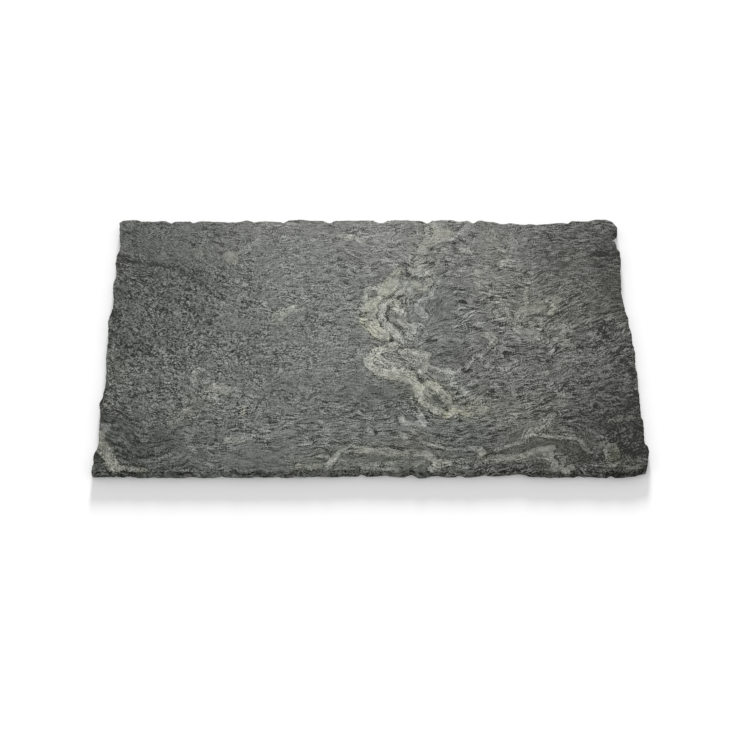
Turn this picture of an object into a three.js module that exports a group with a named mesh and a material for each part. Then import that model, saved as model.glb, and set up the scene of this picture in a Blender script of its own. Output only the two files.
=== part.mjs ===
// Granite countertop sample: one sawn slab of grey-green banded granite with raw, split edges.
// Units are millimetres, +Z is up. The origin is on the underside, at the middle of the slab's
// overall length and depth. X runs along the slab and Y from its front edge to its back edge.

import * as THREE from "three";

// Driving dimensions.
const LENGTH = 1200; // nominal, along X
const DEPTH = 750; // nominal, along Y
const THICKNESS = 20; // sawn top face to sawn underside

// The raw edge is a ring of points about this far apart, repeated at each of these heights.
const STEP = 6.4;
const HEIGHTS = [0, 3.5, 8, 13, 17, THICKNESS];

// Each edge is a straight line with swells and nicks. A swell is [place along the edge, how far the
// stone stands out from the line]; between two of them the edge runs straight. A nick is the groove
// that a splitting wedge left through the whole thickness: [place, depth, half its width].
const FRONT = {
  line: -DEPTH / 2,
  swells: [
    [-599, 2], [-560, 2.5], [-500, 3.5], [-440, 3], [-355, 3.6], [-270, 4], [-220, 3], [-140, 3],
    [-115, 0], [-98, 3.2], [-60, -0.5], [-5, 0.5], [40, -1.8], [72, 2], [88, 0], [112, 4.7],
    [127, 4.2], [140, 0], [170, 1.4], [225, 2.4], [255, -2.6], [285, 0.4], [315, -3.4], [340, -2.5],
    [354, 2.2], [380, 1.5], [397, 4.6], [420, 1.8], [448, 2.8], [480, 0.4], [500, 4.2], [560, 3.3],
    [584, 0.5], [589, -6], [594, -8],
  ],
  nicks: [
    [-520, 3.5, 8], [-317, 2.6, 7], [-302, 2.6, 7], [-197, 2.6, 7], [-14, 6, 9], [95, 5.4, 10],
    [199, 3.6, 8], [325, 2.2, 9], [457, 2.6, 7], [528, 4.6, 8],
  ],
};
const RIGHT = {
  line: LENGTH / 2,
  swells: [
    [-367, 3.5], [-358, 5.5], [-345, 8.6], [-314, 14.3], [-305, 14.3], [-298, 8.8], [-286, 6],
    [-273, 8], [-237, 9.2], [-223, 5], [-190, 5.4], [-106, 6.6], [-97, 8.6], [-84, 7.2], [-74, 4.6],
    [-36, 8.4], [-25, 7.4], [-12, 3.6], [0, 5.2], [20, 5], [29, 4.2], [38, 1.2], [70, 0.2],
    [88, -5], [102, -3], [112, -4.8], [120, -6.3], [149, -9], [190, -5.4], [215, -5], [248, 0.5],
    [275, -1], [287, -8], [299, -6], [306, -7], [323, -6.5], [342, -1.5], [356, 0.5], [366, -2],
  ],
  nicks: [[324, 12.5, 16]],
};
const BACK = {
  line: DEPTH / 2,
  swells: [
    [591, 0.5], [583, 5], [573, 8], [545, 8], [536, 4], [525, 2.5], [490, 4], [482, -5],
    [465, -2], [440, -6], [395, -7.5], [357, -6.5], [343, -1.5], [322, -6.5], [290, 5], [270, 7],
    [235, 4.5], [218, 1], [206, 7.2], [188, 8.2], [160, 5.5], [115, 5.5], [80, 7], [50, 6],
    [0, 6.5], [-30, 5], [-75, 6], [-105, 4], [-130, 4.5], [-165, 8], [-194, 6.5], [-207, 0],
    [-240, 3], [-275, 2], [-289, 5.8], [-302, 5.5], [-313, 0], [-355, 0.5], [-400, 3], [-455, 1],
    [-490, 3.5], [-540, 2.4], [-547, 1], [-554, 6.4], [-577, 7], [-590, 4], [-596, 3],
  ],
  nicks: [
    [253, 8.4, 10], [143, 9.6, 10], [30, 9.2, 15], [-93, 9, 11], [-202, 4.5, 8],
    [-420, 6.2, 9], [-475, 6.4, 9],
  ],
};
const LEFT = {
  line: -LENGTH / 2,
  swells: [
    [372, -1], [345, -3.4], [315, -6.7], [283, -10], [267, -1.6], [258, -4.2], [248, -1],
    [225, -5.8], [195, -7], [173, -2.4], [150, -4.5], [122, -8.4], [98, -7.4], [84, -4.4],
    [59, 0], [35, -3], [0, -5], [-48, -5], [-85, -8.8], [-138, -10.7], [-149, -7.8], [-160, -7.8],
    [-172, -3.6], [-182, -1.8], [-195, -2.3], [-217, -7], [-240, -6.8], [-280, -8], [-291, -11],
    [-300, -9.2], [-312, -5], [-328, -1.2], [-352, -3.4], [-366, 0],
  ],
  nicks: [],
};

const NICK_SHAPE = 1.5; // 1 makes a nick a straight-sided V, and 2 makes it round

// Relief of the split faces, in millimetres. A length is how far apart its ups and downs are.
const BELLY = 1.5; // how far the break swells between the two sawn faces
const BELLY_LENGTH = 23;
const RAGGED = 1.1; // small unevenness of the outline
const RAGGED_LENGTH = 9;
const CHIP = 2.6; // deepest chip off the top and bottom arris
const CHIP_LENGTH = 17;
const CHIP_HEIGHT = 6; // how far from a sawn face its chips reach
const SPALL = 0.35; // share of a chip's depth that smaller flakes add or take away
const SPALL_LENGTH = 6.5;

// Each noise pattern has its own layer. For the ragged outline, the height in millimetres is added.
const LAYERS = { belly: 7, topChip: 11, bottomChip: 21, ragged: 40 };

const clamp01 = (t) => Math.min(1, Math.max(0, t));
const smooth = (t) => t * t * (3 - 2 * t);

// Repeatable number from 0 to 1 for a pair of whole numbers.
function hash(i, j) {
  const v = Math.sin(i * 127.1 + j * 311.7) * 43758.5453;
  return v - Math.floor(v);
}

// Value noise from -1 to 1 along a line, with its own pattern for each layer.
function noise(t, layer) {
  const i = Math.floor(t);
  const a = hash(i, layer);
  const b = hash(i + 1, layer);
  return 2 * (a + (b - a) * smooth(t - i)) - 1;
}

// How far the edge stands out from its straight line at a place along it.
function standOut({ swells, nicks }, at) {
  const forwards = swells[0][0] < swells.at(-1)[0];
  const list = forwards ? swells : swells.toReversed();
  const k = Math.max(1, list.findIndex(([place]) => place >= at));
  const [[a, low], [b, high]] = [list[k - 1], list[k]];
  let out = low + (high - low) * clamp01((at - a) / (b - a));
  for (const [place, depth, half] of nicks) {
    const across = Math.abs(at - place) / half;
    if (across < 1) out -= depth * (1 - across ** NICK_SHAPE);
  }
  return out;
}

// Evenly spaced places along an edge, from its first swell to just short of its last.
function places({ swells }) {
  const [first, last] = [swells[0][0], swells.at(-1)[0]];
  const count = Math.round(Math.abs(last - first) / STEP);
  return Array.from({ length: count }, (_, i) => first + ((last - first) * i) / count);
}

// The four edges joined into one ring that runs counter-clockwise seen from above.
function outline() {
  const ring = [];
  const along = (edge, point) => {
    for (const at of places(edge)) ring.push(point(at, standOut(edge, at)));
  };
  along(FRONT, (x, out) => new THREE.Vector2(x, FRONT.line - out));
  along(RIGHT, (y, out) => new THREE.Vector2(RIGHT.line + out, y));
  along(BACK, (x, out) => new THREE.Vector2(x, BACK.line + out));
  along(LEFT, (y, out) => new THREE.Vector2(LEFT.line - out, y));
  return ring;
}

// Outward direction of the ring at each of its points.
function outwards(ring) {
  return ring.map((_, i) => {
    const before = ring.at(i - 2);
    const after = ring[(i + 2) % ring.length];
    return new THREE.Vector2(after.y - before.y, before.x - after.x).normalize();
  });
}

// Relief of the break at a place round the ring and a height: a swollen middle, chipped arrises.
function relief(around, z) {
  const middle = Math.sin((Math.PI * z) / THICKNESS);
  const belly = BELLY * middle * (0.5 + 0.5 * noise(around / BELLY_LENGTH, LAYERS.belly));
  const ragged = RAGGED * noise(around / RAGGED_LENGTH, LAYERS.ragged + Math.round(z));
  const chip = (fromFace, layer) => {
    const flakes = SPALL * noise(around / SPALL_LENGTH, layer + 1);
    const reach = clamp01(1 - fromFace / CHIP_HEIGHT);
    return CHIP * reach * clamp01(noise(around / CHIP_LENGTH, layer) + flakes);
  };
  const chips = chip(THICKNESS - z, LAYERS.topChip) + chip(z, LAYERS.bottomChip);
  return belly + ragged - chips;
}

// The slab's surface: one ring of points at each height, and a flat face over the first and last.
function slabGeometry() {
  const base = outline();
  const normals = outwards(base);
  const n = base.length;
  const rings = HEIGHTS.map((z) =>
    base.map((p, i) => p.clone().addScaledVector(normals[i], relief(i * STEP, z))),
  );
  const positions = rings.flatMap((ring, k) => ring.flatMap((p) => [p.x, p.y, HEIGHTS[k]]));
  const index = [];
  for (let k = 0; k + 1 < rings.length; k++) {
    for (let i = 0; i < n; i++) {
      const [a, b] = [k * n + i, k * n + ((i + 1) % n)];
      index.push(a, b, b + n, a, b + n, a + n);
    }
  }
  const top = (rings.length - 1) * n;
  for (const [a, b, c] of THREE.ShapeUtils.triangulateShape(rings[0], [])) index.push(c, b, a);
  for (const [a, b, c] of THREE.ShapeUtils.triangulateShape(rings.at(-1), [])) {
    index.push(top + a, top + b, top + c);
  }
  const geometry = new THREE.BufferGeometry();
  geometry.setAttribute("position", new THREE.Float32BufferAttribute(positions, 3));
  geometry.setIndex(index);
  geometry.computeBoundingBox();
  const middle = geometry.boundingBox.getCenter(new THREE.Vector3());
  geometry.translate(-middle.x, -middle.y, 0);
  geometry.computeVertexNormals();
  return geometry;
}

const granite = new THREE.MeshStandardMaterial({ color: 0x6f706c, roughness: 0.5, metalness: 0 });

const slab = new THREE.Mesh(slabGeometry(), granite);
slab.name = "slab";

const sample = new THREE.Group();
sample.add(slab);

export default sample;
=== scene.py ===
"""Granite countertop sample: one sawn slab of grey-green banded granite with raw, split edges.

Lengths are metres, as in the frame. Places of markings on the slab are millimetres from its middle,
X along the slab and Y from its front edge to its back edge.
"""

import math

import bpy
import numpy as np
from bpy.props import FloatProperty, FloatVectorProperty, IntProperty, PointerProperty
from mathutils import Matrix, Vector


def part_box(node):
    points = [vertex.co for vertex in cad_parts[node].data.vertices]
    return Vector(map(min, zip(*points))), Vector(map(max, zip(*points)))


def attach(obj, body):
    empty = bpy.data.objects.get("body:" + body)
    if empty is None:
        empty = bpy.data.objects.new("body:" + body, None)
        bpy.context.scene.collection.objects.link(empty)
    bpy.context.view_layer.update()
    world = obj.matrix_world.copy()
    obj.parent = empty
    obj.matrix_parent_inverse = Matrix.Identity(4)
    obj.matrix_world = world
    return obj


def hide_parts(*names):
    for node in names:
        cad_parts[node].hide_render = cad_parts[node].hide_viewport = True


bl_info = {
    "name": "Granite countertop sample",
    "version": (1, 0, 0),
    "blender": (4, 5, 0),
    "location": "View3D > Sidebar > Granite",
    "description": "Builds a raw-edged slab of banded granite and its stage",
    "category": "Object",
}

MM = 0.001

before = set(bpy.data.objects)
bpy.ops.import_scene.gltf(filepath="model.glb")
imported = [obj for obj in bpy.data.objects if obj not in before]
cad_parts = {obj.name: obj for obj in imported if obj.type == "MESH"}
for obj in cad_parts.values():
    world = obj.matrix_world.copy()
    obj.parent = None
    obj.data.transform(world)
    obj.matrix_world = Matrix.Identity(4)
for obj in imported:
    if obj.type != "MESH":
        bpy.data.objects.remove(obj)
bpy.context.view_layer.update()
SLAB_LOW, SLAB_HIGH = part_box("slab")
LENGTH, DEPTH, THICKNESS = SLAB_HIGH - SLAB_LOW


# --- Markings of the stone, with some painted shade, in millimetres from the middle of the slab ---

# Pale quartz: (paleness, how yellow it is, [(x, y, half width), ...]). The places run along a vein.
VEINS = [
    # the head of the broad vein at the back edge, and its neck
    (0.2, 0.6, [(150, 376, 8), (164, 370, 9), (176, 362, 6)]),
    (0.45, 0.9, [(152, 360, 6), (164, 353, 9), (178, 347, 9)]),
    (0.55, 0.9, [(147, 340, 5), (160, 334, 11), (154, 320, 9)]),
    (0.68, 0.9, [(172, 334, 9), (186, 337, 8), (196, 336, 5)]),
    (0.5, 0.8, [(160, 314, 7), (176, 322, 8), (188, 326, 5)]),
    (0.32, 0.5, [(172, 312, 6), (184, 317, 7), (197, 318, 4)]),
    (0.45, 0.1, [(190, 328, 4), (206, 330, 5), (216, 336, 3)]),
    (0.25, 0.7, [(140, 362, 9), (136, 346, 8)]),
    (0.5, 0.5, [(134, 322, 11), (140, 306, 13), (126, 292, 12)]),
    (0.28, 0.4, [(122, 276, 10), (112, 262, 9)]),
    (0.18, 0.5, [(104, 244, 8), (108, 228, 10)]),
    (0.3, 0.2, [(128, 252, 4), (120, 246, 5)]),
    (0.4, 0.1, [(246, 372, 6), (234, 362, 7), (222, 350, 5), (212, 342, 4)]),
    (0.4, 0.0, [(212, 368, 8), (200, 374, 8)]),
    (0.65, 0.3, [(96, 212, 9), (118, 208, 13), (138, 208, 8)]),
    (0.5, 0.3, [(158, 240, 3), (152, 228, 4), (144, 218, 4)]),
    # the bend: its yellow outer part, and the white parts within it
    (0.75, 0.7, [(66, 214, 8), (56, 198, 10), (48, 178, 16), (38, 160, 18), (30, 144, 13)]),
    (0.7, 0.3, [(16, 160, 5), (-4, 156, 6), (-12, 142, 7), (-14, 126, 6)]),
    (0.8, 0.7, [(18, 128, 6), (4, 116, 13), (0, 102, 15), (2, 88, 11)]),
    (0.6, 0.7, [(0, 70, 9), (14, 58, 8)]),
    (0.55, 0.4, [(-14, 124, 5), (-20, 100, 6), (-22, 84, 6)]),
    (0.65, 0.9, [(-14, 68, 10), (-12, 52, 13), (0, 42, 13)]),
    (0.9, 0.7, [(4, 40, 12), (12, 28, 15), (22, 14, 14), (36, 2, 8)]),
    (0.8, 0.1, [(40, 112, 6), (28, 98, 8), (22, 80, 8), (27, 62, 7), (36, 48, 8), (48, 30, 10),
                (60, 12, 8)]),
    (0.5, 0.1, [(60, 12, 8), (74, -6, 6)]),
    (0.6, 0.5, [(42, 114, 7), (58, 112, 9), (74, 108, 6)]),
    (0.7, 0.2, [(54, 94, 4), (64, 88, 6), (76, 78, 6)]),
    (0.5, 0.3, [(64, 60, 5), (76, 44, 8), (90, 34, 8), (94, 22, 6)]),
    (0.75, 0.0, [(100, 45, 4), (113, 44, 3), (108, 30, 4), (102, 18, 4)]),
    (0.8, 0.1, [(84, 14, 6), (92, 4, 6)]),
    (0.6, 0.0, [(150, 128, 3), (128, 126, 4), (112, 118, 5), (108, 104, 7), (112, 90, 10),
                (122, 74, 9)]),
    (0.6, 0.1, [(58, 140, 3), (72, 146, 7), (88, 144, 6), (86, 156, 8)]),
    (0.3, 0.1, [(72, 174, 8), (92, 170, 10)]),
    (0.6, 0.6, [(104, 172, 9), (112, 160, 8), (126, 162, 9), (134, 178, 8), (130, 188, 5)]),
    (0.65, 0.1, [(158, 178, 3), (150, 164, 4), (144, 146, 5), (138, 130, 4)]),
    # the second fold
    (0.65, 0.5, [(60, -8, 8), (50, -20, 10), (34, -28, 9), (16, -34, 8)]),
    (0.85, 0.3, [(10, -26, 5), (8, -42, 9), (0, -56, 12), (-8, -66, 10), (0, -78, 10), (12, -90, 10)]),
    (0.8, 0.2, [(14, -70, 6), (26, -80, 8), (44, -86, 7)]),
    (0.95, 0.6, [(12, -92, 9), (34, -100, 13), (56, -104, 15), (76, -110, 14), (92, -122, 11)]),
    (0.6, 0.8, [(72, -94, 8), (90, -104, 9)]),
    (0.95, 0.5, [(92, -122, 9), (102, -134, 9), (108, -148, 11), (110, -166, 10), (110, -178, 7)]),
    (0.6, 0.3, [(16, -48, 4), (26, -64, 5), (44, -72, 4), (66, -78, 4)]),
    (1.2, 0.0, [(26, -82, 6), (48, -86, 6)]),
    (0.55, 0.4, [(68, -38, 4), (88, -34, 6), (104, -42, 9), (120, -44, 8), (130, -46, 6)]),
    (0.7, 0.3, [(126, -54, 6), (120, -68, 10), (124, -82, 10), (112, -96, 7)]),
    (0.6, 0.1, [(138, -82, 4), (154, -90, 7), (176, -94, 8), (192, -98, 7)]),
    (0.55, 0.1, [(192, -98, 7), (186, -114, 5), (182, -130, 5)]),
    (0.45, 0.2, [(186, -132, 5), (200, -152, 5), (222, -168, 6)]),
    (0.8, 0.8, [(124, -132, 8), (140, -136, 11), (150, -146, 9)]),
    (0.5, 0.7, [(158, -150, 7), (166, -164, 8), (174, -178, 9), (180, -192, 10)]),
    (0.3, 0.9, [(124, -152, 8), (133, -160, 7)]),
    (0.75, 0.5, [(112, -184, 6), (126, -196, 8), (140, -206, 8)]),
    (0.8, 0.9, [(140, -206, 8), (152, -212, 10), (174, -218, 10), (190, -208, 10), (212, -214, 12)]),
    (0.5, 0.9, [(196, -202, 12), (216, -206, 14), (236, -204, 16), (252, -200, 12)]),
    (0.4, 0.7, [(230, -184, 9), (240, -176, 7)]),
    (0.55, 0.0, [(88, -172, 3), (90, -186, 4), (102, -200, 3)]),
    (0.75, 0.1, [(66, -228, 6), (70, -240, 6), (86, -245, 4), (104, -246, 4)]),
    (0.95, 0.0, [(107, -224, 6), (113, -236, 8), (116, -245, 6)]),
    # the right half
    (0.5, 0.1, [(230, 42, 2), (250, 48, 3), (272, 55, 3), (300, 64, 3), (322, 71, 3)]),
    (0.35, 0.0, [(290, 84, 7), (308, 92, 10), (324, 82, 9), (338, 74, 8)]),
    (0.4, 0.1, [(254, 116, 3), (275, 118, 4), (296, 112, 3)]),
    (0.4, 0.0, [(280, 148, 6), (292, 140, 6)]),
    (0.35, 0.1, [(322, 16, 4), (330, 4, 6), (338, -4, 4)]),
    (0.35, 0.8, [(438, 2, 4), (450, -12, 5), (462, -28, 5)]),
    (0.85, 0.2, [(374, 22, 4), (380, 28, 5), (388, 30, 4)]),
    (0.56, 0.5, [(336, 60, 7), (346, 78, 10), (362, 90, 13), (386, 100, 14)]),
    (0.56, 0.6, [(386, 100, 13), (408, 114, 13), (432, 124, 11)]),
    (0.55, 0.9, [(424, 104, 4), (420, 94, 6), (414, 80, 6)]),
    (0.22, 1.0, [(366, 44, 7), (384, 54, 8), (394, 46, 6)]),
    (0.5, 0.6, [(366, 56, 3), (372, 46, 3), (374, 34, 3)]),
    (0.5, 0.2, [(338, 36, 8), (350, 18, 15), (372, 10, 15), (386, 0, 7)]),
    (0.65, 0.1, [(416, 34, 4), (428, 40, 6), (440, 44, 5), (444, 30, 5), (440, 18, 5)]),
    (0.5, 0.2, [(456, 48, 5), (458, 34, 6), (452, 24, 5)]),
    (0.6, 0.6, [(362, 162, 3), (360, 134, 4), (362, 108, 4)]),
    (0.65, 0.0, [(420, 0, 6)]),
    (0.45, 0.0, [(420, -32, 5), (400, -50, 5)]),
    (0.55, 0.8, [(258, 14, 6), (270, 12, 8), (278, 2, 8), (276, -14, 5)]),
    (0.7, 0.1, [(270, -24, 3), (254, -40, 4), (242, -48, 6), (228, -66, 3), (212, -88, 3)]),
    (0.4, 0.1, [(246, -58, 3), (262, -78, 4), (282, -86, 4), (302, -90, 3), (316, -72, 3),
                (332, -62, 2)]),
    (0.35, 0.1, [(418, -74, 2), (450, -62, 3), (482, -50, 3), (500, -44, 2)]),
    (0.52, 0.1, [(370, -96, 3), (388, -97, 5), (408, -92, 3), (434, -80, 3)]),
    (0.35, 0.1, [(478, -108, 3), (500, -100, 2), (522, -90, 3), (540, -80, 5), (566, -72, 2)]),
    (0.22, 0.8, [(290, 344, 6), (290, 328, 9), (284, 318, 8), (298, 312, 5)]),
    (0.3, 0.2, [(332, 326, 6), (344, 300, 7), (340, 280, 7), (352, 268, 6)]),
    (0.4, 0.4, [(298, 298, 4), (306, 286, 5), (318, 280, 5)]),
    (0.35, 0.5, [(300, 266, 6), (312, 256, 7), (326, 256, 6)]),
    (0.3, 0.5, [(312, 240, 9), (304, 232, 8)]),
    (0.5, 0.6, [(252, 206, 12), (248, 190, 10), (256, 174, 10)]),
    (0.2, 0.4, [(330, 240, 9), (352, 232, 8)]),
    (0.5, 0.1, [(268, 214, 6), (270, 232, 6)]),
    (0.35, 0.2, [(352, 176, 6), (368, 180, 7)]),
    (0.4, 0.5, [(214, 276, 8), (228, 280, 7), (240, 272, 6)]),
    (0.45, 0.1, [(498, 18, 3), (516, 8, 4), (532, -5, 3)]),
    (0.35, 0.2, [(384, -198, 3), (404, -190, 4), (426, -192, 6)]),
    (0.4, 0.2, [(418, -166, 5), (446, -164, 5)]),
    # the ripple near the front edge, and the blunt bands below it
    (0.65, 0.1, [(114, -299, 2), (142, -305, 3), (162, -312, 3), (186, -316, 3), (212, -315, 5),
                 (238, -314, 6)]),
    (0.9, 0.4, [(238, -316, 7), (242, -326, 7), (236, -336, 6)]),
    (0.65, 0.2, [(266, -320, 2), (292, -310, 3), (316, -301, 4), (336, -296, 4)]),
    (0.7, 0.2, [(334, -294, 5), (342, -276, 6), (366, -276, 3), (400, -282, 4), (426, -285, 4),
                (446, -284, 6)]),
    (0.65, 0.2, [(446, -283, 5), (455, -288, 5), (464, -302, 4), (469, -315, 4), (480, -325, 3)]),
    (0.35, 0.2, [(404, -218, 6), (390, -232, 8), (380, -252, 10), (360, -262, 8), (340, -276, 6)]),
    (0.45, 0.4, [(528, -238, 5), (546, -232, 8), (562, -228, 5), (594, -228, 6)]),
    (0.4, 0.1, [(492, -306, 7), (512, -300, 8)]),
    (0.8, 0.3, [(530, -296, 4), (516, -304, 5), (513, -325, 4), (515, -346, 4), (523, -359, 5),
                (531, -358, 4)]),
    (0.7, 0.5, [(530, -298, 6), (532, -312, 6), (536, -326, 5), (537, -338, 3)]),
    (0.7, 0.9, [(524, -322, 6), (527, -340, 6)]),
    (0.2, 0.5, [(544, -362, 4), (562, -368, 5), (584, -362, 5)]),
    (0.45, 0.2, [(584, -346, 6), (600, -350, 6)]),
    (0.6, 0.5, [(244, -346, 4), (268, -340, 8), (296, -341, 8), (326, -336, 6), (346, -326, 6),
                (370, -318, 6)]),
    (0.6, 0.2, [(370, -318, 5), (396, -312, 7), (380, -330, 7), (390, -340, 8), (398, -352, 5),
                (396, -364, 4)]),
    (0.45, 0.1, [(408, -330, 4), (418, -342, 4), (418, -354, 3), (408, -366, 3), (392, -376, 2)]),
    (0.8, 0.4, [(416, -374, 5), (432, -370, 9)]),
    # the folded band at the middle of the front edge
    (0.45, 0.6, [(-158, -364, 7), (-140, -364, 8), (-120, -362, 6)]),
    (0.75, 0.2, [(-118, -362, 4), (-104, -362, 4), (-92, -356, 4), (-86, -346, 5), (-80, -336, 5),
                 (-68, -322, 6)]),
    (0.6, 0.4, [(-66, -320, 6), (-44, -315, 7), (-16, -318, 8), (14, -321, 9), (44, -322, 8),
                (72, -327, 6)]),
    (0.7, 0.4, [(72, -327, 7), (98, -326, 8), (118, -330, 8), (134, -340, 7)]),
    (1.3, 0.3, [(143, -357, 10)]),
    (0.95, 0.3, [(148, -355, 10), (164, -354, 9)]),
    (0.8, 0.0, [(130, -371, 6)]),
    (0.7, 0.1, [(-126, -338, 2), (-108, -335, 3), (-94, -338, 3)]),
    (0.3, 0.1, [(-46, -354, 2), (-20, -357, 4), (20, -357, 4), (52, -353, 4), (74, -350, 3)]),
    (0.45, 0.2, [(-20, -371, 4), (30, -370, 4), (80, -366, 4), (110, -350, 6)]),
    (0.9, 0.0, [(-8, -263, 5), (4, -271, 4)]),
    # the corner vein at the front left
    (0.8, 0.0, [(-586, -256, 11)]),
    (0.95, 0.5, [(-594, -272, 9), (-595, -290, 11), (-590, -306, 12)]),
    (0.92, 0.5, [(-590, -305, 12), (-582, -320, 12), (-572, -338, 12), (-565, -354, 11),
                 (-558, -367, 9)]),
    (0.82, 0.5, [(-556, -367, 8), (-534, -367, 7), (-512, -370, 6), (-500, -372, 5), (-490, -374, 3)]),
    (0.5, 0.3, [(-600, -312, 12)]),
    # pale patches of the left half
    (0.35, 1.0, [(-588, -188, 9)]),
    (0.55, 0.5, [(-366, -148, 9), (-346, -146, 15), (-322, -148, 11)]),
    (0.45, 0.1, [(-312, -146, 6), (-298, -150, 7)]),
    (0.5, 0.3, [(-352, -168, 9), (-346, -188, 6)]),
    (0.4, 0.6, [(-444, -240, 7), (-426, -226, 11), (-402, -202, 4)]),
    (0.6, 0.8, [(-286, -222, 4), (-282, -198, 4)]),
    (0.5, 0.0, [(-318, -170, 2), (-290, -166, 2), (-262, -168, 3), (-244, -170, 2)]),
    (0.5, 0.4, [(-318, -291, 7), (-298, -290, 9), (-278, -284, 8), (-262, -280, 4)]),
    (0.4, 0.2, [(-258, -279, 3), (-216, -278, 3)]),
    (0.35, 0.0, [(-508, -346, 2), (-484, -348, 3), (-462, -343, 3), (-444, -335, 3)]),
    (0.32, 0.0, [(-232, -168, 2), (-244, -190, 3), (-248, -212, 3), (-258, -236, 2)]),
    (0.5, 0.5, [(-218, 70, 13), (-202, 80, 12), (-190, 94, 8), (-176, 100, 4)]),
    (0.4, 0.6, [(-214, 50, 7), (-200, 48, 5)]),
    (0.5, 0.3, [(-172, 88, 5), (-160, 94, 4)]),
    (0.5, 0.1, [(-250, 118, 3), (-242, 100, 4), (-234, 84, 3)]),
    (0.6, 0.2, [(-400, -120, 6), (-398, -106, 7), (-392, -94, 8), (-382, -90, 6)]),
    (0.5, 0.7, [(-336, 262, 14), (-328, 248, 14)]),
    (0.35, 0.4, [(-318, 268, 7), (-300, 280, 9), (-286, 294, 8), (-270, 310, 6)]),
    (0.22, 0.8, [(-408, 286, 9), (-408, 262, 9)]),
    (0.45, 0.5, [(-76, 328, 5), (-62, 322, 6), (-48, 326, 7)]),
    (0.5, 0.4, [(-34, 320, 6), (-22, 316, 8), (-12, 324, 4)]),
    (0.35, 0.1, [(-138, 256, 5), (-134, 242, 7)]),
    (0.2, 0.3, [(-400, 20, 7), (-386, -10, 8)]),
]

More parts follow.
